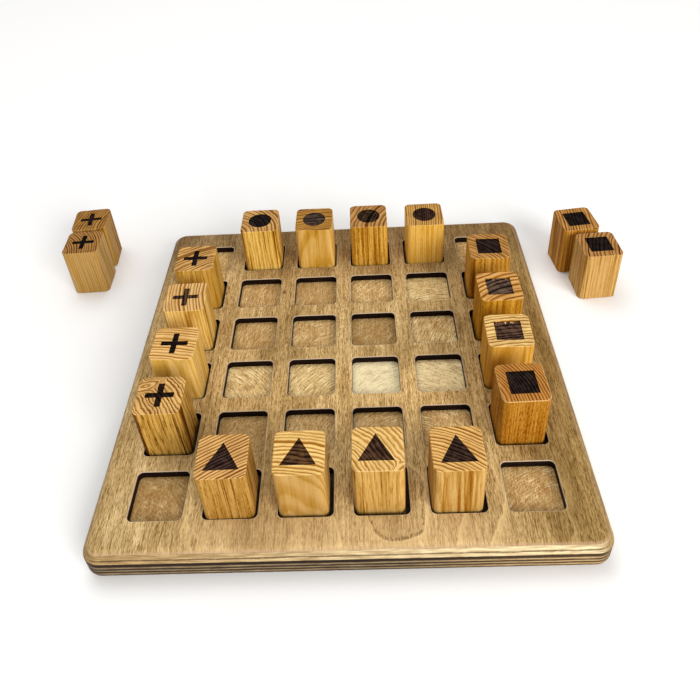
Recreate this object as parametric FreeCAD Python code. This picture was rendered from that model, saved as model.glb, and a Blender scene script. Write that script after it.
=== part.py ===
import FreeCAD, Part
import math
import os

# A square pocket board for an abstract strategy game, with its set of marked wooden blocks.
# The board is two sheets of plywood glued face to face: a thin window plate with a grid of
# square windows, on a thicker base plate that closes each window into a shallow pocket.
# Each block is a square hardwood prism, standing on end in a pocket, with a mark engraved
# in its top. Sixteen blocks stand in the outer pockets and four stand beside the board.
#
# Frame: the origin is the centre of the board's underside, +Z is up, +Y is towards the row
# of circle blocks and +X towards the column of square blocks. All lengths are in mm.

# Board
GRID = 6
PITCH = 32.5
WINDOW_SIDE = 23.8
WINDOW_RADIUS = 2.4
BOARD_SIDE = 220.0
BOARD_RADIUS = 8.0
BASE_THICKNESS = 12.0
WINDOW_PLATE_THICKNESS = 4.0
RIM_ROUND = 4.8
LIP_BREAK = 0.25

# Blocks
BLOCK_SIDE = 21.7
BLOCK_HEIGHT = 32.1
BLOCK_RADIUS = 3.0
BLOCK_RIM_ROUND = 0.5

# Marks engraved in the blocks' tops
MARK_DEPTH = 0.4
CIRCLE_DIAMETER = 13.4
SQUARE_SIDE = 12.9
PLUS_LENGTH = 13.3
PLUS_ARM = 2.9
TRIANGLE_SIDE = 15.3

BOARD_TOP = BASE_THICKNESS + WINDOW_PLATE_THICKNESS
TRIANGLE_HEIGHT = TRIANGLE_SIDE * math.sqrt(3) / 2

# The blocks in the pockets: name, mark, column from the left, row from the back, then how the
# block sits in its pocket's play: shift along X, shift along Y and turn about Z in degrees.
SEATED = [
    ("circle_block_1", "circle", 1, 0, 0.2, 0.5, 0.0),
    ("circle_block_2", "circle", 2, 0, 0.2, -0.4, -0.5),
    ("circle_block_3", "circle", 3, 0, -0.1, 0.4, 0.0),
    ("circle_block_4", "circle", 4, 0, 0.3, -0.4, 0.5),
    ("plus_block_1", "plus", 0, 1, -0.6, -0.1, 0.5),
    ("plus_block_2", "plus", 0, 2, -0.6, 0.4, 1.0),
    ("plus_block_3", "plus", 0, 3, -0.1, -0.4, -1.5),
    ("plus_block_4", "plus", 0, 4, -0.8, 0.1, 0.0),
    ("square_block_1", "square", 5, 1, 0.4, -0.1, -1.5),
    ("square_block_2", "square", 5, 2, 0.5, -0.7, 0.5),
    ("square_block_3", "square", 5, 3, -0.5, 0.2, -1.5),
    ("square_block_4", "square", 5, 4, -0.3, 0.5, 1.5),
    ("triangle_block_1", "triangle", 1, 5, -0.2, -0.7, 1.0),
    ("triangle_block_2", "triangle", 2, 5, -0.8, 0.1, 0.0),
    ("triangle_block_3", "triangle", 3, 5, -0.8, 0.8, -0.5),
    ("triangle_block_4", "triangle", 4, 5, -0.7, -0.2, 0.5),
]

# Marks engraved off their block's centre: shift along the block's own X and Y.
MARK_SHIFT = {
    "triangle_block_2": (-0.3, 0.5),
    "triangle_block_3": (-0.7, 0.8),
}

# The blocks on the table beside the board: name, mark, place in X and Y, and turn in degrees.
LOOSE = [
    ("plus_block_5", "plus", -161.7, 107.6, 5.5),
    ("plus_block_6", "plus", -160.0, 83.8, 2.5),
    ("square_block_5", "square", 140.8, 85.8, 6.5),
    ("square_block_6", "square", 147.3, 61.0, 3.0),
]


def rounded_square(side, radius, z):
    """Closed wire: a square of this side centred on the Z axis, its corners rounded."""
    outer = side / 2
    inner = outer - radius
    diagonal = inner + radius * math.cos(math.pi / 4)
    edges = []
    for quarter in range(4):
        turn = FreeCAD.Rotation(FreeCAD.Vector(0, 0, 1), 90 * quarter)
        start, middle, end, following = (
            turn.multVec(FreeCAD.Vector(x, y, z))
            for x, y in ((outer, inner), (diagonal, diagonal), (inner, outer), (-inner, outer))
        )
        edges.append(Part.Arc(start, middle, end).toShape())
        edges.append(Part.LineSegment(end, following).toShape())
    return Part.Wire(edges)


def slab(side, radius, bottom, top):
    """Square plate with rounded corners, from bottom to top."""
    face = Part.Face(rounded_square(side, radius, bottom))
    return face.extrude(FreeCAD.Vector(0, 0, top - bottom))


def edges_at(shape, z):
    """The edges that lie flat at this height."""
    near = 1e-4
    return [
        edge
        for edge in shape.Edges
        if abs(edge.BoundBox.ZMin - z) < near and abs(edge.BoundBox.ZMax - z) < near
    ]


def pocket_centre(column, row):
    """Centre of a pocket, counting columns from the left and rows from the back."""
    middle = (GRID - 1) / 2
    return FreeCAD.Vector((column - middle) * PITCH, (middle - row) * PITCH, 0)


def window_cutter():
    """One window: a straight hole through the window plate, slightly eased at its upper edge."""
    past = 1.0
    hole = slab(WINDOW_SIDE, WINDOW_RADIUS, BASE_THICKNESS - past, BOARD_TOP + past)
    ease = Part.makeLoft(
        [
            rounded_square(WINDOW_SIDE, WINDOW_RADIUS, BOARD_TOP - LIP_BREAK),
            rounded_square(WINDOW_SIDE + 2 * LIP_BREAK, WINDOW_RADIUS + LIP_BREAK, BOARD_TOP),
        ],
        True,
        True,
    )
    return hole.fuse(ease)


def make_blank():
    """The two glued sheets before the windows are cut, rounded over along both rims."""
    blank = slab(BOARD_SIDE, BOARD_RADIUS, 0, BOARD_TOP)
    return blank.makeFillet(RIM_ROUND, edges_at(blank, 0) + edges_at(blank, BOARD_TOP))


def make_base_plate():
    """Thick lower sheet: the part of the blank below the glue line."""
    return make_blank().common(slab(BOARD_SIDE, BOARD_RADIUS, 0, BASE_THICKNESS))


def make_window_plate():
    """Thin upper sheet: the part of the blank above the glue line, with the grid of windows."""
    plate = make_blank().common(slab(BOARD_SIDE, BOARD_RADIUS, BASE_THICKNESS, BOARD_TOP))
    cutter = window_cutter()
    windows = []
    for row in range(GRID):
        for column in range(GRID):
            window = cutter.copy()
            window.translate(pocket_centre(column, row))
            windows.append(window)
    return plate.cut(Part.makeCompound(windows))


def mark_face(mark):
    """Outline of a mark, centred on the Z axis at height 0, its upper side towards +Y."""
    if mark == "circle":
        return Part.Face(Part.Wire(Part.makeCircle(CIRCLE_DIAMETER / 2)))
    if mark == "square":
        half = SQUARE_SIDE / 2
        corners = [(-half, -half), (half, -half), (half, half), (-half, half)]
    elif mark == "triangle":
        foot, tip = -TRIANGLE_HEIGHT / 2, TRIANGLE_HEIGHT / 2
        corners = [(-TRIANGLE_SIDE / 2, foot), (TRIANGLE_SIDE / 2, foot), (0, tip)]
    else:
        arm, end = PLUS_ARM / 2, PLUS_LENGTH / 2
        quarter = [(end, -arm), (end, arm), (arm, arm)]
        corners = []
        for x, y in quarter:
            corners.append((x, y))
        for x, y in quarter:
            corners.append((-y, x))
        for x, y in quarter:
            corners.append((-x, -y))
        for x, y in quarter:
            corners.append((y, -x))
    points = [FreeCAD.Vector(x, y, 0) for x, y in corners]
    return Part.Face(Part.makePolygon(points + points[:1]))


def make_block(name, mark):
    """A block standing on the origin, with its mark sunk into the top."""
    body = slab(BLOCK_SIDE, BLOCK_RADIUS, 0, BLOCK_HEIGHT)
    body = body.makeFillet(BLOCK_RIM_ROUND, edges_at(body, 0) + edges_at(body, BLOCK_HEIGHT))
    recess = mark_face(mark).extrude(FreeCAD.Vector(0, 0, 2 * MARK_DEPTH))
    mark_x, mark_y = MARK_SHIFT.get(name, (0, 0))
    recess.translate(FreeCAD.Vector(mark_x, mark_y, BLOCK_HEIGHT - MARK_DEPTH))
    return body.cut(recess)


def place(block, centre, turn):
    """Turns a block about its own axis and stands it at its place."""
    block.Placement = FreeCAD.Placement(centre, FreeCAD.Rotation(FreeCAD.Vector(0, 0, 1), turn))
    return block


def make_parts():
    """Every sub-part by name."""
    parts = {"base_plate": make_base_plate(), "window_plate": make_window_plate()}
    for name, mark, column, row, shift_x, shift_y, turn in SEATED:
        seat = pocket_centre(column, row) + FreeCAD.Vector(shift_x, shift_y, BASE_THICKNESS)
        parts[name] = place(make_block(name, mark), seat, turn)
    for name, mark, x, y, turn in LOOSE:
        parts[name] = place(make_block(name, mark), FreeCAD.Vector(x, y, 0), turn)
    return parts


os.makedirs("parts", exist_ok=True)
for node, shape in make_parts().items():
    shape.exportStep("parts/" + node + ".step")
    state = "valid" if shape.isValid() else "INVALID"
    print(node, state, len(shape.Solids), "solid,", round(shape.Volume), "mm3")
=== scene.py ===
import math

import bpy
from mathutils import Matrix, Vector


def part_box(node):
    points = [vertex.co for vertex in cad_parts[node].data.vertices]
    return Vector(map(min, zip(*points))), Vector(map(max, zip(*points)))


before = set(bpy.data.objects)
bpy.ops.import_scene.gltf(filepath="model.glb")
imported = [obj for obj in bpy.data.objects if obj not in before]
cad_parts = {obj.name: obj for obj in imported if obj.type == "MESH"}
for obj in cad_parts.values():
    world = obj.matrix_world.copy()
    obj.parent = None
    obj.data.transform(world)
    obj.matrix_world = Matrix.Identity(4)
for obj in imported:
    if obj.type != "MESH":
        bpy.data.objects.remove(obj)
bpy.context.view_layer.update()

# A pocket board for a strategy game, seen from the players' side, with its marked blocks.
# Lengths are in metres in the scene and in millimetres inside the materials.
MM_PER_M = 1000.0

# The grid of pockets, as it is cut in the CAD: their count each way, the distance between them,
# half a window's side and its corners' radius, and how far the grid reaches from the middle.
GRID = 6
PITCH = 32.5
WINDOW_HALF = 11.9
WINDOW_RADIUS = 2.4
GRID_REACH = GRID * PITCH / 2
BOARD_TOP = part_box("window_plate")[1].z * MM_PER_M

# Strength of the reflections: oiled wood is only satin.
BLOCK_SHINE = 0.04
BOARD_SHINE = 0.08

# Depth of the fine relief on the blocks, on the board's top and on its floors, in metres.
BLOCK_RELIEF = 0.00005
VENEER_RELIEF = 0.00006
FLOOR_RELIEF = 0.00008

# Each pocket's floor, by column from the left and row from the front: its tone, from 0 for the
# darkest to 1.15 for the palest, and the direction of its scuffs in degrees from +X. The floors
# that aren't named stand under blocks: they keep the middle values, and painted shade darkens them
# along their walls, for the shadow in the gaps. The scuffs' radius and the shade's reach are in mm.
MIDDLE_TONE = 0.40
MIDDLE_SWEEP = 45.0
SWEEP_RADIUS = 38.0
PAINTED_SHADE_REACH = 2.1
FLOORS = {
    (0, 0): (0.22, -35.0), (5, 0): (0.44, 30.0),
    (1, 1): (0.26, 40.0), (2, 1): (0.50, 70.0), (3, 1): (0.52, 35.0), (4, 1): (0.45, -40.0),
    (1, 2): (0.80, -48.0), (2, 2): (0.84, 48.0), (3, 2): (1.15, 35.0), (4, 2): (1.03, -28.0),
    (1, 3): (0.34, 65.0), (2, 3): (0.46, 40.0), (3, 3): (0.14, 50.0), (4, 3): (0.66, 62.0),
    (0, 5): (0.45, 60.0), (5, 5): (0.40, 30.0),
    (1, 4): (0.42, 78.0), (2, 4): (0.30, 62.0), (3, 4): (0.58, 50.0), (4, 4): (0.90, 12.0),
}

# The blocks' woods. Each entry holds:
#   pith       centre of the growth rings, in mm from the block's axis
#   ring       ring width in mm
#   wave       how far the rings wander, in mm
#   lean       drift of the rings along X and Y per mm of height
#   end        light and dark colours of the end grain
#   side       light and dark colours of the long grain
#   mark       light and dark colours of the scorched mark
# and, where the wood has them:
#   knot       nested ovals in the rings: their centre, their direction in degrees, and half
#              their length and width in mm
#   ragged     how ragged the mark's back edge is, from 0 to 1
# and, where they aren't the usual ones below:
#   lines      strength of the rings on the sides
#   stripes    strength of the dark stripes on the sides
#   fineness   how many of those stripes there are per mm
#   flecks     strength of the short dark vessels on the sides
#   pale_edge  how strongly a painted highlight pales the rounded top edge
BLOCKS = {
    "circle_block_1": dict(
        pith=(-20, -14), ring=2.2, wave=0.6, lean=(0.00, 0.02), stripes=1.6,
        end=("cda165", "8c6027"), side=("f1c86c", "955f0f"), mark=("271f1c", "070505"),
    ),
    "circle_block_2": dict(
        pith=(8, -80), ring=2.0, wave=0.5, lean=(0.05, 0.10), stripes=0.6,
        end=("b98a41", "7d4a14"), side=("ddb366", "c59841"), mark=("554439", "291a17"),
    ),
    "circle_block_3": dict(
        pith=(42, -16), ring=2.4, wave=0.5, lean=(0.00, 0.03), flecks=0.30,
        end=("ba8d54", "804d17"), side=("e0b04f", "9e6205"), mark=("44311d", "090403"),
    ),
    "circle_block_4": dict(
        pith=(-150, 6), ring=1.3, wave=0.3, lean=(0.02, 0.00),
        stripes=0.9, fineness=0.9, lines=0.8, flecks=0.2,
        end=("d0a05a", "684014"), side=("ecc066", "dda634"), mark=("483023", "140907"),
    ),
    "plus_block_1": dict(
        pith=(35, -60), ring=2.5, wave=0.8, lean=(0.02, 0.05),
        end=("d3a565", "885b26"), side=("d1a651", "885a18"), mark=("261916", "0d0606"),
    ),
    "plus_block_2": dict(
        pith=(60, 9), ring=1.75, wave=0.3, lean=(0.01, 0.02),
        end=("e2b87a", "a27131"), side=("eac376", "ae7d2b"), mark=("5c4432", "291611"),
    ),
    "plus_block_3": dict(
        pith=(-12, -90), ring=1.9, wave=0.35, lean=(0.06, 0.04), stripes=0.5,
        end=("ecc07c", "b7833f"), side=("e9c173", "be954e"), mark=("261814", "0b0505"),
    ),
    "plus_block_4": dict(
        pith=(-60, -52), ring=1.55, wave=0.95, lean=(0.05, 0.00),
        knot=(-6.0, 5.0, 30, 9.0, 3.6), stripes=2.6, lines=0.8, fineness=0.30,
        end=("e1b46e", "7c4814"), side=("d7ab58", "6c3a01"), mark=("311f17", "070303"),
    ),
    "square_block_1": dict(
        pith=(-45, -45), ring=2.1, wave=0.4, lean=(0.02, 0.03), flecks=0.30,
        end=("be8e53", "8d5c1e"), side=("d8a54c", "9b6410"), mark=("34231d", "140907"),
    ),
    "square_block_2": dict(
        pith=(14, -34), ring=2.9, wave=0.5, lean=(0.02, 0.02), ragged=0.7, flecks=0.30,
        end=("d9a55f", "945f1f"), side=("cd9933", "975e0a"), mark=("6a5444", "281a16"),
    ),
    "square_block_3": dict(
        pith=(6, -100), ring=2.0, wave=0.7, lean=(0.05, 0.03), ragged=0.9, pale_edge=0.25,
        end=("edc983", "a56d34"), side=("deaa4e", "b88323"), mark=("624738", "24120e"),
    ),
    "square_block_4": dict(
        pith=(-36, -14), ring=1.35, wave=0.4, lean=(0.02, 0.01), stripes=0.7, flecks=0.60, pale_edge=0.40,
        end=("c18842", "824916"), side=("bf8934", "985c03"), mark=("33241e", "040303"),
    ),
    "triangle_block_1": dict(
        pith=(60, -104), ring=1.45, wave=0.3, lean=(0.02, 0.04),
        stripes=1.4, flecks=0.25, lines=0.45, fineness=1.0,
        end=("e5b572", "915e2b"), side=("bb914b", "7a4808"), mark=("49332c", "1f0e0a"),
    ),
    "triangle_block_2": dict(
        pith=(-5, -60), ring=1.9, wave=0.5, lean=(0.10, 0.12), stripes=0.35, flecks=0.05, pale_edge=0.15,
        end=("f2cd82", "c18b4a"), side=("c19a5b", "9d702c"), mark=("67472b", "341d10"),
    ),
    "triangle_block_3": dict(
        pith=(-34, -24), ring=1.9, wave=0.9, lean=(0.03, 0.05),
        knot=(10.0, -9.5, 40, 7.0, 4.0), pale_edge=0.25, lines=0.7, stripes=1.4,
        end=("ebc580", "c2904f"), side=("cca15a", "794e15"), mark=("563d2a", "301810"),
    ),
    "triangle_block_4": dict(
        pith=(-20, -42), ring=1.6, wave=0.4, lean=(0.02, 0.03),
        end=("e7ba72", "a26d34"), side=("c8a162", "9d691a"), mark=("493429", "1e0f0b"),
    ),
    "plus_block_5": dict(
        pith=(78, -16), ring=1.7, wave=0.4, lean=(0.02, 0.01),
        end=("ad8041", "5e340e"), side=("b28a49", "855824"), mark=("2e1c17", "130605"),
    ),
    "plus_block_6": dict(
        pith=(-24, -12), ring=1.45, wave=0.3, lean=(0.02, 0.01), stripes=0.5,
        end=("ae8148", "593008"), side=("b7935c", "a57c45"), mark=("110d0b", "020101"),
    ),
    "square_block_5": dict(
        pith=(-150, 6), ring=1.6, wave=0.4, lean=(0.02, 0.01),
        end=("c59250", "6e390d"), side=("ca923f", "885613"), mark=("271d17", "0b0504"),
    ),
    "square_block_6": dict(
        pith=(42, -12), ring=2.0, wave=0.4, lean=(0.03, 0.01),
        end=("bd8c52", "5e3207"), side=("c89f62", "9a7131"), mark=("281b15", "080303"),
    ),
}

# The values of a wood whose entry doesn't give them.
USUAL_WOOD = dict(lines=1.0, stripes=1.0, fineness=0.55, flecks=0.12, pale_edge=0.08)

# How porous and dark the wood is across one growth ring, from its inner side to its outer.
RING_PROFILE = [
    (0.0, 0.7), (0.08, 1.0), (0.28, 0.75), (0.50, 0.15), (0.66, 0.0), (0.92, 0.08), (1.0, 0.7),
]
# How much red, green and blue the darkest lines keep of the table's dark colours.
END_DEPTH = (0.64, 0.56, 0.25)
SIDE_DEPTH = (0.72, 0.62, 0.20)
MARK_DEPTH = (0.45, 0.45, 0.45)
# The tint of everything darker than the table's light colours.
END_WARMTH = (0.96, 0.88, 0.70)
SIDE_WARMTH = (1.0, 0.94, 0.60)
# The painted highlight on the blocks' rounded top edges, where they catch the light.
EDGE_HIGHLIGHT = "f6d698"
# The mark, in mm: how deep below the block's top its scorched surface starts and ends, how far
# it can reach from the block's axis, where its back edge is, and how far a fully ragged back
# edge shows the wood.
MARK_START = 0.13
MARK_END = 0.55
MARK_REACH = 10.0
MARK_BACK = 6.3
MARK_RAGGED = 2.2


def colour(text):
    """Linear RGBA for a colour written as six hex digits."""
    values = [int(text[i:i + 2], 16) / 255 for i in (0, 2, 4)]
    linear = [v / 12.92 if v <= 0.04045 else ((v + 0.055) / 1.055) ** 2.4 for v in values]
    return (*linear, 1.0)


def deeper(shade, depth):
    """The same colour with less red, green and blue in it."""
    return (*(value * share for value, share in zip(shade, depth)), 1.0)


class Graph:
    """A material's node tree. Every input takes either a plain value or another node's output."""

    def __init__(self, name):
        self.material = bpy.data.materials.new(name)
        self.material.use_nodes = True
        self.nodes = self.material.node_tree.nodes
        self.links = self.material.node_tree.links
        self.shader = self.nodes["Principled BSDF"]

    def feed(self, socket, value):
        if isinstance(value, bpy.types.NodeSocket):
            self.links.new(value, socket)
        else:
            socket.default_value = value

    def coordinates(self):
        """Position in mm and surface normal, both in the row's frame at rest."""
        source = self.nodes.new("ShaderNodeTexCoord")
        place = self.vector("SCALE", source.outputs["Object"], scale=MM_PER_M)
        return place, source.outputs["Normal"]

    def math(self, operation, a, b=0.0, clamp=False):
        node = self.nodes.new("ShaderNodeMath")
        node.operation = operation
        node.use_clamp = clamp
        self.feed(node.inputs[0], a)
        self.feed(node.inputs[1], b)
        return node.outputs[0]

    def total(self, *values, clamp=False):
        """The sum of the values, held between 0 and 1 where clamp is set."""
        result = values[0]
        for value in values[1:]:
            result = self.math("ADD", result, value)
        result.node.use_clamp = clamp
        return result

    def product(self, *values):
        result = values[0]
        for value in values[1:]:
            result = self.math("MULTIPLY", result, value)
        return result

    def minus(self, a, b, clamp=False):
        return self.math("SUBTRACT", a, b, clamp)

    def size(self, value):
        """The value without its sign."""
        return self.math("ABSOLUTE", value)

    def larger(self, a, b):
        return self.math("MAXIMUM", a, b)

    def vector(self, operation, a, b=(0.0, 0.0, 0.0), scale=1.0):
        node = self.nodes.new("ShaderNodeVectorMath")
        node.operation = operation
        self.feed(node.inputs[0], a)
        self.feed(node.inputs[1], b)
        if operation == "SCALE":
            self.feed(node.inputs["Scale"], scale)
        return node.outputs["Value" if operation == "LENGTH" else "Vector"]

    def split(self, vector):
        node = self.nodes.new("ShaderNodeSeparateXYZ")
        self.feed(node.inputs[0], vector)
        return node.outputs

    def join(self, x=0.0, y=0.0, z=0.0):
        node = self.nodes.new("ShaderNodeCombineXYZ")
        for socket, value in zip(node.inputs, (x, y, z)):
            self.feed(socket, value)
        return node.outputs[0]

    def length(self, x, y):
        """Length of the step that goes this far along X and Y."""
        return self.vector("LENGTH", self.join(x, y))

    def noise(self, vector, detail=2.0, roughness=0.5, output="Fac"):
        node = self.nodes.new("ShaderNodeTexNoise")
        self.feed(node.inputs["Vector"], vector)
        node.inputs["Scale"].default_value = 1.0
        node.inputs["Detail"].default_value = detail
        node.inputs["Roughness"].default_value = roughness
        return node.outputs[output]

    def grain(self, place, waves, seed=0.0, **settings):
        """Noise with this many waves per mm along X, Y and Z, moved by a seed."""
        scaled = self.vector("MULTIPLY", place, waves)
        return self.noise(self.vector("ADD", scaled, (seed, seed * 1.7, seed * 0.6)), **settings)

    def random(self, value):
        """A number from 0 to 1 that is fixed for each whole value."""
        node = self.nodes.new("ShaderNodeTexWhiteNoise")
        node.noise_dimensions = "1D"
        self.feed(node.inputs["W"], value)
        return node.outputs["Value"]

    def step(self, value, low, high):
        """0 below low and 1 above high, with a smooth rise between; low may be the larger."""
        node = self.nodes.new("ShaderNodeMapRange")
        node.interpolation_type = "SMOOTHSTEP"
        self.feed(node.inputs["Value"], value)
        self.feed(node.inputs["From Min"], low)
        self.feed(node.inputs["From Max"], high)
        return node.outputs["Result"]

    def ramp(self, factor, stops):
        """Grey or colour ramp: stops are (place, value or colour)."""
        node = self.nodes.new("ShaderNodeValToRGB")
        elements = node.color_ramp.elements
        while len(elements) < len(stops):
            elements.new(1.0)
        for element, (place, value) in zip(elements, stops):
            element.position = place
            element.color = value if isinstance(value, tuple) else (value, value, value, 1.0)
        self.feed(node.inputs["Fac"], factor)
        return node.outputs["Color"]

    def mix(self, factor, a, b, blend="MIX"):
        node = self.nodes.new("ShaderNodeMix")
        node.data_type = "RGBA"
        node.blend_type = blend
        self.feed(node.inputs["Factor"], factor)
        first, second = [socket for socket in node.inputs if socket.type == "RGBA"]
        self.feed(first, a)
        self.feed(second, b)
        return [socket for socket in node.outputs if socket.type == "RGBA"][0]

    def paint(self, factor, base, text):
        """The base painted over with a colour written as six hex digits."""
        return self.mix(factor, base, colour(text))

    def tint(self, factor, base, tint):
        """The base multiplied by a tint, which keeps its grain."""
        return self.mix(factor, base, (*tint, 1.0), "MULTIPLY")

    def surface(self, base, roughness, shine):
        self.feed(self.shader.inputs["Base Color"], base)
        self.feed(self.shader.inputs["Roughness"], roughness)
        self.shader.inputs["Specular IOR Level"].default_value = shine

    def bump(self, height, depth):
        """Relief of this depth in metres, from a height between 0 and 1."""
        node = self.nodes.new("ShaderNodeBump")
        node.inputs["Distance"].default_value = depth
        self.feed(node.inputs["Height"], height)
        self.feed(self.shader.inputs["Normal"], node.outputs["Normal"])


def rings_round_knot(graph, rings, flat, wood):
    """The count of growth rings, bent into nested ovals near a knot."""
    knot_x, knot_y, direction, length, width = wood["knot"]
    cosine, sine = math.cos(math.radians(direction)), math.sin(math.radians(direction))
    x, y, _ = graph.split(graph.vector("SUBTRACT", flat, (knot_x, knot_y, 0)))
    along = graph.total(graph.product(x, cosine / length), graph.product(y, sine / length))
    across = graph.total(graph.product(x, -sine / width), graph.product(y, cosine / width))
    oval = graph.length(along, across)
    rings_at_knot = math.dist(wood["pith"], (knot_x, knot_y)) / wood["ring"]
    nested = graph.total(graph.product(oval, width / wood["ring"]), rings_at_knot)
    near = graph.step(oval, 1.15, 0.65)
    return graph.total(rings, graph.product(graph.minus(nested, rings), near))


def growth_rings(graph, local, z, wood, seed):
    """How porous the wood is, from 0 to 1. The rings lean and wander with the height."""
    drift = graph.grain(local, (0.07, 0.07, 0.02), seed, detail=3.0, output="Color")
    drift = graph.vector("SCALE", graph.vector("SUBTRACT", drift, (0.5, 0.5, 0.5)), scale=wood["wave"] * 6)
    fine = graph.grain(local, (0.5, 0.5, 0.03), seed, output="Color")
    fine = graph.vector("SCALE", graph.vector("SUBTRACT", fine, (0.5, 0.5, 0.5)), scale=wood["wave"] * 1.1)
    lean = graph.join(*(graph.product(z, share) for share in wood["lean"]))
    moved = graph.vector("ADD", graph.vector("ADD", drift, fine), lean)
    flat = graph.vector("MULTIPLY", graph.vector("ADD", local, moved), (1, 1, 0))
    radius = graph.vector("LENGTH", graph.vector("SUBTRACT", flat, (*wood["pith"], 0)))
    uneven = graph.noise(graph.join(graph.product(radius, 0.22), seed), detail=1.0)
    rings = graph.total(graph.math("DIVIDE", radius, wood["ring"]), graph.product(uneven, 1.9))
    if "knot" in wood:
        rings = rings_round_knot(graph, rings, flat, wood)
    profile = graph.ramp(graph.math("FRACT", rings), RING_PROFILE)
    strength = graph.total(graph.product(graph.random(graph.math("FLOOR", rings)), 0.55), 0.45)
    return graph.product(profile, strength)


def end_grain(graph, local, early, wood, seed):
    """Wood cut across its rings, and the open pores in its early wood."""
    light, dark = (colour(text) for text in wood["end"])
    dark = deeper(dark, END_DEPTH)
    speck = graph.grain(local, (2.6, 2.6, 0.4), seed, detail=1.0)
    pores = graph.product(graph.step(speck, 0.56, 0.72), early)
    depth = graph.total(graph.product(early, 1.30), graph.product(pores, 0.40), clamp=True)
    end = graph.tint(graph.step(depth, 0.0, 0.5), graph.mix(depth, light, dark), END_WARMTH)
    cloud = graph.grain(local, (0.12, 0.12, 0.03), seed + 5)
    return graph.mix(graph.product(graph.step(cloud, 0.62, 0.35), 0.25), end, dark), pores


def long_grain(graph, local, early, wood, seed):
    """The same rings seen along the block, and vessel lines drawn out in the height."""
    light, dark = (colour(text) for text in wood["side"])
    vessel = graph.grain(local, (1.9, 1.9, 0.09), seed + 9, roughness=0.6)
    stripe = graph.grain(local, (wood["fineness"], wood["fineness"], 0.010), seed + 1, roughness=0.6)
    broad = graph.grain(local, (0.20, 0.20, 0.012), seed + 3)
    fleck = graph.grain(local, (2.2, 2.2, 0.42), seed + 11, detail=1.0)
    vessels = graph.step(vessel, 0.50, 0.68)
    depth = graph.total(
        graph.product(early, 0.52 * wood["lines"]),
        graph.product(vessels, 0.26 * wood["stripes"]),
        graph.product(graph.step(stripe, 0.52, 0.66), 0.50 * wood["stripes"]),
        graph.product(graph.step(fleck, 0.54, 0.64), wood["flecks"]),
        graph.product(graph.step(broad, 0.42, 0.66), 0.26),
        clamp=True,
    )
    side = graph.mix(depth, light, deeper(dark, SIDE_DEPTH))
    return graph.tint(graph.step(depth, 0.05, 0.55), side, SIDE_WARMTH), vessels


def scorched_wood(graph, local, early, wood, seed):
    """Wood burnt black, with its rings still readable."""
    light, dark = (colour(text) for text in wood["mark"])
    char = graph.grain(local, (0.35, 0.35, 0.1), seed + 7, detail=3.0)
    burnt = graph.product(graph.step(char, 0.40, 0.60), 0.50)
    depth = graph.total(graph.product(early, 1.35), burnt, clamp=True)
    return graph.mix(depth, light, deeper(dark, MARK_DEPTH))


def mark_area(graph, x, y, z, height, wood, seed):
    """1 on the floor of the recess in the block's top, and 0 elsewhere."""
    reach = graph.larger(graph.size(x), graph.size(y))
    area = graph.product(
        graph.step(z, height - MARK_START + 0.03, height - MARK_START - 0.03),
        graph.step(z, height - MARK_END - 0.05, height - MARK_END + 0.05),
        graph.step(reach, MARK_REACH + 0.2, MARK_REACH - 0.2),
    )
    if "ragged" in wood:
        spot = graph.join(graph.product(x, 0.9), graph.product(y, 0.25), seed)
        torn = graph.step(graph.noise(spot, detail=3.0, roughness=0.65), 0.45, 0.70)
        edge = graph.minus(MARK_BACK, graph.product(torn, MARK_RAGGED * wood["ragged"]))
        area = graph.product(area, graph.step(graph.minus(y, edge), 0.1, -0.1))
    return area


def block_material(name, number):
    """Oiled ash cut across its rings at both ends and along them on the sides, with its mark."""
    graph = Graph(name + "_ash")
    wood = {**USUAL_WOOD, **BLOCKS[name]}
    seed = number * 13.7
    low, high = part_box(name)
    axis = ((low.x + high.x) / 2 * MM_PER_M, (low.y + high.y) / 2 * MM_PER_M, low.z * MM_PER_M)
    height = (high.z - low.z) * MM_PER_M
    place, normal = graph.coordinates()
    local = graph.vector("SUBTRACT", place, axis)
    x, y, z = graph.split(local)
    facing_up = graph.split(normal)[2]

    early = growth_rings(graph, local, z, wood, seed)
    end, pores = end_grain(graph, local, early, wood, seed)
    side, vessels = long_grain(graph, local, early, wood, seed)
    is_end = graph.step(graph.size(facing_up), 0.55, 0.85)
    rounded = graph.product(graph.step(facing_up, 0.20, 0.45), graph.step(facing_up, 0.97, 0.85))
    body = graph.mix(is_end, side, end)
    # Painted highlight: the rounded top edges are painted paler, where they catch the light.
    body = graph.paint(graph.product(rounded, wood["pale_edge"]), body, EDGE_HIGHLIGHT)
    scorched = mark_area(graph, x, y, z, height, wood, seed)
    body = graph.mix(scorched, body, scorched_wood(graph, local, early, wood, seed))
    roughness = graph.total(0.46, graph.product(early, 0.16), graph.product(scorched, 0.2))
    graph.surface(body, roughness, BLOCK_SHINE)
    hollows = graph.product(graph.mix(is_end, vessels, pores), -0.5)
    graph.bump(graph.total(graph.product(early, -0.6), hollows), BLOCK_RELIEF)
    return graph.material


# Colours and tints that both plates share.
PORE = "664622"
CLOUD_TINT = (0.74, 0.70, 0.62)


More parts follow.
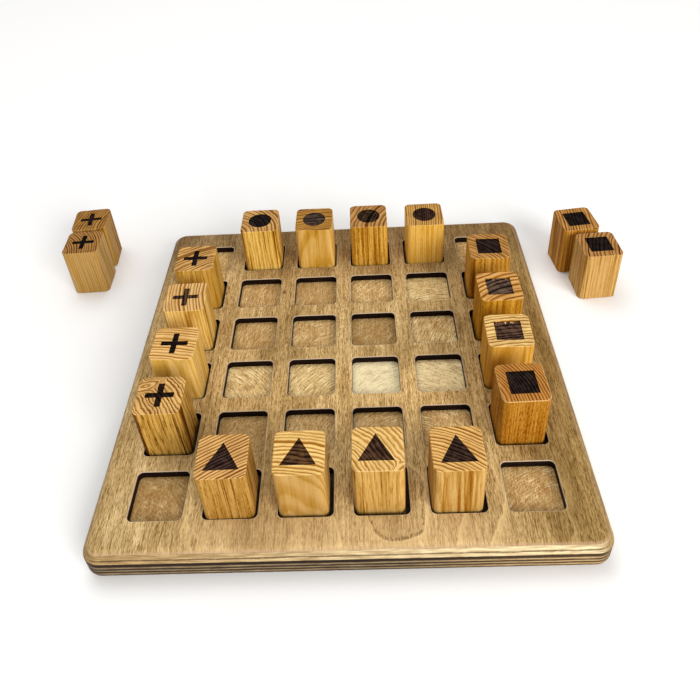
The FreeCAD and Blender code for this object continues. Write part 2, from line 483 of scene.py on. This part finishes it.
def plate_grain(graph, place, seed):
    """Rotary-cut birch face: straight broken fibres along Y, short dark pores and slow clouds."""
    line = graph.grain(place, (2.5, 0.18, 0.5), seed, detail=1.0)
    thin = graph.grain(place, (4.2, 0.45, 0.5), seed + 6, detail=1.0)
    broad = graph.grain(place, (0.80, 0.03, 0.5), seed + 10, detail=1.0)
    gate = graph.grain(place, (1.1, 0.45, 0.5), seed + 8, detail=1.0)
    pore = graph.grain(place, (2.7, 0.45, 0.5), seed + 4, detail=1.0)
    cloud = graph.grain(place, (0.11, 0.026, 0.0), seed + 2, detail=1.0)
    strength = graph.total(graph.product(graph.step(gate, 0.38, 0.62), 1.10), 0.50)
    fibre = graph.minus(graph.total(graph.product(line, 0.52), graph.product(thin, 0.48)), 0.5)
    fibre = graph.total(fibre, graph.product(graph.minus(broad, 0.5), 0.25))
    fibre = graph.total(graph.product(fibre, strength), 0.5)
    return fibre, graph.step(pore, 0.58, 0.65), graph.step(cloud, 0.40, 0.66)


# The innermost loop of the figure on the face veneer: its centre, how round it is, and the
# distance to the next one, in mm.
LOOP_X = 22.0
LOOP_Y = -86.0
LOOP_ROUNDNESS = 0.82
LOOP_SPACING = 14.5


def figure_lines(graph, place, x, y):
    """Nested loops at the front, where the veneer knife crossed the growth rings.

    Each loop is a light line with a dotted dark one on its inner side, which is faint on all
    but the innermost.
    """
    warp = graph.grain(place, (0.035, 0.035, 0.0), seed=21.0, detail=1.0, output="Color")
    warp_x, warp_y, _ = graph.split(warp)
    jag = graph.grain(place, (0.40, 0.14, 0.0), seed=5.0)
    bend_x = graph.total(
        graph.product(graph.minus(warp_x, 0.5), 16.0),
        graph.product(graph.minus(jag, 0.5), 3.0),
    )
    bend_y = graph.product(graph.minus(warp_y, 0.5), 14.0)
    across = graph.total(graph.minus(x, LOOP_X), bend_x)
    along = graph.product(graph.total(graph.minus(y, LOOP_Y), bend_y), LOOP_ROUNDNESS)
    turns = graph.total(graph.math("DIVIDE", graph.length(across, along), LOOP_SPACING), 0.5)
    innermost = graph.step(turns, 2.05, 1.95)
    inside = graph.math("FRACT", turns)
    light = graph.ramp(inside, [(0.49, 0.0), (0.51, 1.0), (0.55, 0.60), (0.75, 0.0)])
    dark = graph.ramp(inside, [(0.40, 0.0), (0.44, 1.0), (0.48, 1.0), (0.50, 0.0)])

    # Some loops are missing, and all fade towards the back and the left.
    shown = graph.larger(graph.step(graph.random(graph.math("FLOOR", turns)), 0.25, 0.75), innermost)
    forward = graph.total(graph.product(graph.step(y, -55.0, -92.0), 0.85), 0.15)
    rightward = graph.total(graph.product(graph.step(x, -85.0, -45.0), 0.6), 0.4)
    weight = graph.product(forward, shown, rightward)
    flame = graph.total(graph.product(graph.step(x, LOOP_X + 3.0, LOOP_X + 14.0), 0.40), 0.60)
    dots = graph.step(graph.grain(place, (1.5, 0.55, 0.0), seed=31.0), 0.43, 0.54)
    clear = graph.total(graph.product(innermost, 0.80), 0.20)
    return graph.product(light, flame, weight), graph.product(dark, dots, weight, clear)


def in_pitches(graph, value):
    """A place along X or Y, counted in pockets from the grid's left or front edge."""
    return graph.total(graph.math("DIVIDE", value, PITCH), GRID / 2)


def window_distance(graph, x, y):
    """Distance in mm outside the outline of the nearest window, negative within it."""
    sides = []
    for value in (x, y):
        off = graph.size(graph.minus(graph.math("FRACT", in_pitches(graph, value)), 0.5))
        sides.append(graph.minus(graph.product(off, PITCH), WINDOW_HALF - WINDOW_RADIUS))
    corner = graph.length(*(graph.larger(side, 0.0) for side in sides))
    straight = graph.math("MINIMUM", graph.larger(*sides), 0.0)
    return graph.minus(graph.total(corner, straight), WINDOW_RADIUS)


# Ply boundaries from the underside up, in mm, and whether the grain of the ply above runs along Y.
PLIES = [
    (0.0, 1), (2.2, 0), (3.3, 1), (4.4, 0), (5.6, 1), (6.6, 0), (7.6, 1), (8.7, 0), (9.9, 1),
    (12.0, 0), (13.45, 1), (13.9, 0), (15.25, 1),
]
# Half the height over which one ply passes into the next, and how far the boundaries wander.
GLUE_SOFTNESS = 0.16
PLY_WANDER = 0.45

# The plies' colours at the rim, in long grain and in end grain. Each has the two shades of its
# streaks at the board's left and the two at its right. The right's paler shades are painted light,
# for the light that falls on the rim from the right.
WINDOW_PLATE_RIM = dict(
    long_grain=(("92764c", "b89868"), ("bda278", "f0dcae")),
    end_grain=(("342210", "4a3018"), ("342210", "6e4e2c")),
)
BASE_PLATE_RIM = dict(
    long_grain=(("6c5840", "94805f"), ("a08258", "c8a878")),
    end_grain=(("1c1008", "302012"), ("42301c", "42301c")),
)


def ply_bands(graph, place, z, facing):
    """How much end grain shows at this height of the plies, and which plies run along Y."""
    ripple = graph.grain(place, (0.05, 0.05, 0.3))
    nibble = graph.grain(place, (0.5, 0.5, 1.2))
    wander = [graph.product(graph.minus(noise, 0.5), PLY_WANDER) for noise in (ripple, nibble)]
    level = graph.math("DIVIDE", graph.total(z, *wander), BOARD_TOP)
    stops = []
    for bottom, along_y in PLIES:
        if stops:
            stops.append(((bottom - GLUE_SOFTNESS) / BOARD_TOP, stops[-1][1]))
        stops.append(((bottom + GLUE_SOFTNESS if bottom else 0.0) / BOARD_TOP, float(along_y)))
    along = graph.ramp(level, stops)
    ends_y = graph.product(along, graph.size(facing[1]))
    ends_x = graph.product(graph.minus(1.0, along), graph.size(facing[0]))
    return graph.total(ends_y, ends_x, clamp=True), along


def rim_streaks(graph, place):
    """Streaks drawn out along the plies."""
    return graph.step(graph.grain(place, (0.10, 0.10, 1.9)), 0.35, 0.68)


def rim_plies(graph, ends, streaks, rightward, rim):
    """The plies' colours at the rim, painted lighter from the board's left to its right, where more light
    falls.
    """
    shades = []
    for left, right in (rim["long_grain"], rim["end_grain"]):
        at_left = graph.mix(streaks, *(colour(text) for text in left))
        at_right = graph.mix(streaks, *(colour(text) for text in right))
        shades.append(graph.mix(rightward, at_left, at_right))
    return graph.mix(ends, *shades)


def tones_and_painted_sheen(graph, face, x, y):
    """The board's slow changes of tone: darker towards the right, the back and the left back and
    along a band left of the middle, with a painted reflection paling the left front and a painted
    sheen lighting a broad patch in front of the middle.
    """
    from_sheen_patch = graph.length(graph.product(x, 1 / 85), graph.product(graph.total(y, 32.0), 1 / 30))
    left_front_reflection = graph.product(graph.step(x, -60.0, -100.0), graph.step(y, 40.0, -40.0))
    left_back = graph.product(graph.step(x, -50.0, -105.0), graph.step(y, 50.0, 105.0))
    from_band = graph.size(graph.total(x, 35.0))
    areas = [
        (graph.step(x, 50.0, 105.0), (0.60, 0.555, 0.44)),
        (graph.step(y, 40.0, 110.0), (0.62, 0.59, 0.60)),
        # Painted reflection, paling and greying the left front.
        (left_front_reflection, (1.13, 1.19, 1.32)),
        (left_back, (0.82, 0.82, 0.84)),
        # Painted sheen, lighting a broad patch in front of the middle.
        (graph.step(from_sheen_patch, 1.1, 0.4), (1.25, 1.23, 1.21)),
        (graph.step(from_band, 16.0, 6.0), (0.81, 0.78, 0.73)),
    ]
    for area, tint in areas:
        face = graph.tint(area, face, tint)
    return face


# A small dark knot in the face veneer, in mm.
PIN_KNOT_X = -34.5
PIN_KNOT_Y = 48.5


def face_veneer(graph, place, x, y):
    """The board's top: birch under its stain, with its figure, and the height of its fine relief."""
    fibre, pore, cloud = plate_grain(graph, place, seed=11.0)
    face = graph.ramp(fibre, [(0.37, colour("8e6e3b")), (0.5, colour("c4a36b")), (0.63, colour("e2c28a"))])
    front = graph.product(graph.step(y, -84.0, -98.0), graph.step(graph.size(x), 80.0, 50.0))
    cloud = graph.product(cloud, graph.minus(1.0, graph.product(front, 0.8)))
    face = graph.tint(cloud, face, CLOUD_TINT)
    face = graph.paint(graph.product(pore, 0.42), face, PORE)
    light, dark = figure_lines(graph, place, x, y)
    face = graph.tint(light, face, (1.08, 1.06, 1.02))
    face = graph.paint(graph.product(light, 0.80), face, "f2d498")
    face = graph.paint(graph.product(front, 0.27), face, "e8c896")
    face = graph.paint(graph.product(dark, 0.62), face, "5c3c16")
    face = tones_and_painted_sheen(graph, face, x, y)
    off_knot = graph.length(graph.minus(x, PIN_KNOT_X), graph.product(graph.minus(y, PIN_KNOT_Y), 0.7))
    face = graph.paint(graph.product(graph.step(off_knot, 1.5, 0.5), 0.8), face, "54381a")
    return face, fibre, graph.total(fibre, graph.product(pore, -0.8))


# The window plate's edges, in mm: how thick its face veneer is, how far down and outwards the
# windows' upper edges are rubbed bare, and where the rim starts outside the grid.
FACE_VENEER = 0.75
WORN_DOWN = 0.23
WORN_OUT = 0.42
RIM_START = 4.25


def window_plate_rim(graph, x, z, facing, face, ends, streaks):
    """The plies under the face veneer's edge; the sides' rounded edges keep the face's tone."""
    # Painted light: the rim grows paler towards the right, where more light falls.
    rim = rim_plies(graph, ends, streaks, graph.step(x, -115.0, 95.0), WINDOW_PLATE_RIM)
    veneer_bottom = BOARD_TOP - FACE_VENEER
    veneer_edge = graph.step(z, veneer_bottom - 0.1, veneer_bottom + 0.1)
    rim = graph.mix(veneer_edge, rim, graph.paint(0.5, face, "bc9a7c"))
    sideways = graph.step(graph.size(facing[0]), 0.20, 0.60)
    upwards = graph.step(facing[2], 0.20, 0.50)
    return graph.mix(graph.product(sideways, upwards, 0.70), rim, face)


def worn_windows(graph, x, y, z, facing, reach):
    """How bare the windows' upper edges are rubbed: most where they face the front."""
    worn_bottom = BOARD_TOP - WORN_DOWN
    pale_edge = graph.product(
        graph.step(z, worn_bottom - 0.05, worn_bottom + 0.05),
        graph.step(window_distance(graph, x, y), WORN_OUT + 0.08, WORN_OUT - 0.08),
        graph.step(reach, GRID_REACH, GRID_REACH - 1.0),
    )
    return graph.product(pale_edge, graph.minus(0.50, graph.product(facing[1], 0.45), clamp=True))


def window_plate_material():
    """Stained birch plywood: face veneer on top, plies at the rim, scorched walls in the windows."""
    graph = Graph("window_plate_birch_stained")
    place, normal = graph.coordinates()
    x, y, z = graph.split(place)
    facing = graph.split(normal)
    face, fibre, relief = face_veneer(graph, place, x, y)
    ends, along = ply_bands(graph, place, z, facing)
    streaks = rim_streaks(graph, place)
    rim = window_plate_rim(graph, x, z, facing, face, ends, streaks)
    wall = graph.paint(along, graph.mix(streaks, colour("0d0605"), colour("26150e")), "080404")
    reach = graph.larger(graph.size(x), graph.size(y))
    outer = graph.step(reach, GRID_REACH + RIM_START - 0.25, GRID_REACH + RIM_START + 0.25)
    steep = graph.step(facing[2], 0.97, 0.9)
    wood = graph.mix(steep, face, graph.mix(outer, wall, rim))
    wood = graph.paint(worn_windows(graph, x, y, z, facing, reach), wood, "dcc4a8")
    graph.surface(wood, graph.total(0.42, graph.product(fibre, 0.25)), BOARD_SHINE)
    graph.bump(relief, VENEER_RELIEF)
    return graph.material


def floor_values(graph, cell):
    """Each floor's tone, its scuffs' direction in radians, and 1 where a block covers it."""
    tone = MIDDLE_TONE
    sweep = math.radians(MIDDLE_SWEEP)
    covered = 1.0
    for (column, row), (floor_tone, floor_sweep) in FLOORS.items():
        here = graph.math("COMPARE", cell, float(column + GRID * row))
        covered = graph.minus(covered, here)
        tone = graph.total(tone, graph.product(here, floor_tone - MIDDLE_TONE))
        sweep = graph.total(sweep, graph.product(here, math.radians(floor_sweep - MIDDLE_SWEEP)))
    return tone, sweep, covered


def scuff_arcs(graph, x, y, column, row, cell, sweep):
    """Streaks along arcs that cross each floor in its own direction, as the cutter left them."""
    along_x, along_y = graph.math("COSINE", sweep), graph.math("SINE", sweep)
    centre_x = graph.product(graph.minus(column, (GRID - 1) / 2), PITCH)
    centre_y = graph.product(graph.minus(row, (GRID - 1) / 2), PITCH)
    from_x = graph.minus(graph.minus(x, centre_x), graph.product(along_y, SWEEP_RADIUS))
    from_y = graph.total(graph.minus(y, centre_y), graph.product(along_x, SWEEP_RADIUS))
    travel = graph.total(graph.product(x, along_x, 0.22), graph.product(y, along_y, 0.22))
    spot = graph.join(graph.product(graph.length(from_x, from_y), 1.6), cell, graph.product(travel, 0.6))
    return graph.noise(spot, roughness=0.7)


def pocket_floors(graph, place, x, y, face):
    """The pockets' floors, each with its own tone and scuffs, and the scuffs' streaks."""
    column = graph.math("FLOOR", in_pitches(graph, x))
    row = graph.math("FLOOR", in_pitches(graph, y))
    cell = graph.total(column, graph.product(row, GRID))
    tone, sweep, covered = floor_values(graph, cell)
    arc = scuff_arcs(graph, x, y, column, row, cell, sweep)
    grit = graph.grain(place, (1.7, 0.9, 0.0), seed=9.0, roughness=0.6)
    patch = graph.grain(place, (0.14, 0.14, 0.0), seed=3.0, detail=3.0, roughness=0.6)

    # The darkest floors turn a darker brown, and the palest a pale cream.
    face = graph.paint(graph.product(graph.step(tone, 0.65, 0.0), 0.60), face, "80602f")
    pale = graph.mix(graph.step(tone, 0.92, 1.15), colour("f8d996"), colour("fff0c2"))
    face = graph.mix(graph.product(graph.step(tone, 0.45, 1.05), 0.88), face, pale)

    scuffed = graph.total(graph.product(graph.step(tone, 0.25, 0.75), 0.65), 0.35)
    bright = graph.total(graph.product(graph.step(patch, 0.42, 0.62), 0.65), 0.35)
    bright = graph.product(bright, scuffed)
    dirt = graph.minus(1.0, graph.product(graph.step(tone, 1.00, 1.15), 0.45))
    layers = [
        (graph.product(graph.step(patch, 0.52, 0.34), dirt, 0.30), "90682e"),
        (graph.product(graph.step(grit, 0.48, 0.38), dirt, 0.40), "7e501c"),
        (graph.product(graph.step(arc, 0.48, 0.38), scuffed, dirt, 0.66), "884c18"),
        (graph.product(graph.step(grit, 0.54, 0.62), bright, 0.45), "f6dca4"),
        (graph.product(graph.step(arc, 0.54, 0.61), bright, 0.85), "ffeebc"),
    ]
    for layer, text in layers:
        face = graph.paint(layer, face, text)

    # Painted shade along the walls of the pockets that blocks stand in, for the shadow in the gaps.
    from_wall = graph.product(window_distance(graph, x, y), -1.0)
    near_wall = graph.step(from_wall, PAINTED_SHADE_REACH + 0.5, PAINTED_SHADE_REACH - 0.5)
    painted_shade = graph.product(near_wall, covered, 0.93)
    return graph.paint(painted_shade, face, "140c08"), arc


def base_plate_material():
    """Stained birch plywood: scuffed floors in the pockets, plies at the rim, plain underneath."""
    graph = Graph("base_plate_birch_stained")
    place, normal = graph.coordinates()
    x, y, z = graph.split(place)
    facing = graph.split(normal)
    fibre, pore, cloud = plate_grain(graph, place, seed=47.0)
    face = graph.ramp(fibre, [(0.36, colour("a8824c")), (0.5, colour("cca468")), (0.64, colour("e8c486"))])
    underside = graph.tint(cloud, face, CLOUD_TINT)
    underside = graph.paint(graph.product(pore, 0.42), underside, PORE)
    floors, arc = pocket_floors(graph, place, x, y, face)
    face = graph.mix(graph.step(facing[2], -0.5, 0.5), underside, floors)

    ends, _ = ply_bands(graph, place, z, facing)
    streaks = rim_streaks(graph, place)
    # Painted light: the rim grows paler towards the right, where more light falls.
    rim = rim_plies(graph, ends, streaks, graph.step(x, 10.0, 105.0), BASE_PLATE_RIM)
    steep = graph.step(graph.size(facing[2]), 0.97, 0.9)
    roughness = graph.total(0.45, graph.product(fibre, 0.25))
    graph.surface(graph.mix(steep, face, rim), roughness, BOARD_SHINE)
    graph.bump(graph.total(graph.product(fibre, 0.5), graph.step(arc, 0.35, 0.65)), FLOOR_RELIEF)
    return graph.material


def finish_with(node, material):
    """Gives a CAD node its finished material."""
    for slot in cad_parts[node].material_slots:
        slot.material = material


# Half the side of the table top, in metres.
TABLE_HALF = 3.0


def make_floor():
    """Plain pale table top under the board."""
    corners = [(x * TABLE_HALF, y * TABLE_HALF, 0) for x, y in ((-1, -1), (1, -1), (1, 1), (-1, 1))]
    mesh = bpy.data.meshes.new("floor")
    mesh.from_pydata(corners, [], [(0, 1, 2, 3)])
    floor = bpy.data.objects.new("floor", mesh)
    bpy.context.scene.collection.objects.link(floor)
    graph = Graph("floor_white")
    graph.surface((0.95, 0.95, 0.95, 1), 0.9, 0.1)
    mesh.materials.append(graph.material)


# Soft square lamps aimed at the board's middle: name, place and size in metres, power in watts
# and colour. The stronger one stands at the front right.
LAMPS = [
    ("overhead_lamp", (-0.3, 0.6, 1.6), 1.2, 12.5, (1.0, 0.98, 0.95)),
    ("front_lamp", (1.25, -1.75, 1.05), 1.4, 56.0, (1.0, 0.99, 0.97)),
]
SURROUNDINGS_STRENGTH = 0.44


def light_scene():
    """White surroundings, and the lamps."""
    world = bpy.data.worlds.new("surroundings")
    world.use_nodes = True
    background = world.node_tree.nodes["Background"]
    background.inputs["Color"].default_value = (1.0, 1.0, 1.0, 1)
    background.inputs["Strength"].default_value = SURROUNDINGS_STRENGTH
    bpy.context.scene.world = world
    for name, place, size, power, tint in LAMPS:
        light = bpy.data.lights.new(name, "AREA")
        light.size = size
        light.energy = power
        light.color = tint
        lamp = bpy.data.objects.new(name, light)
        lamp.location = place
        lamp.rotation_euler = (-Vector(place)).to_track_quat("-Z", "Y").to_euler()
        bpy.context.scene.collection.objects.link(lamp)
    bpy.context.scene.view_settings.view_transform = "Standard"


# The players' view, from the front and above: its place in metres, its turn in degrees, and the
# sensor's width and the lens in mm. The shift stands for the picture's crop.
CAMERA_PLACE = (0.0149, -0.2598, 0.2933)
CAMERA_TURN = (53.24, 3.475, 0.4705)
CAMERA_SENSOR = 36.0
CAMERA_LENS = 36.6
CAMERA_SHIFT = (0.0201, -0.179)


def add_camera():
    """The players' view."""
    camera = bpy.data.cameras.new("camera")
    camera.sensor_width = CAMERA_SENSOR
    camera.lens = CAMERA_LENS
    camera.shift_x, camera.shift_y = CAMERA_SHIFT
    camera.clip_start = 0.01
    stand = bpy.data.objects.new("camera", camera)
    stand.location = CAMERA_PLACE
    stand.rotation_euler = [math.radians(angle) for angle in CAMERA_TURN]
    bpy.context.scene.collection.objects.link(stand)
    bpy.context.scene.camera = stand


add_camera()
light_scene()
make_floor()
finish_with("window_plate", window_plate_material())
finish_with("base_plate", base_plate_material())
for number, block in enumerate(BLOCKS, start=1):
    finish_with(block, block_material(block, number))
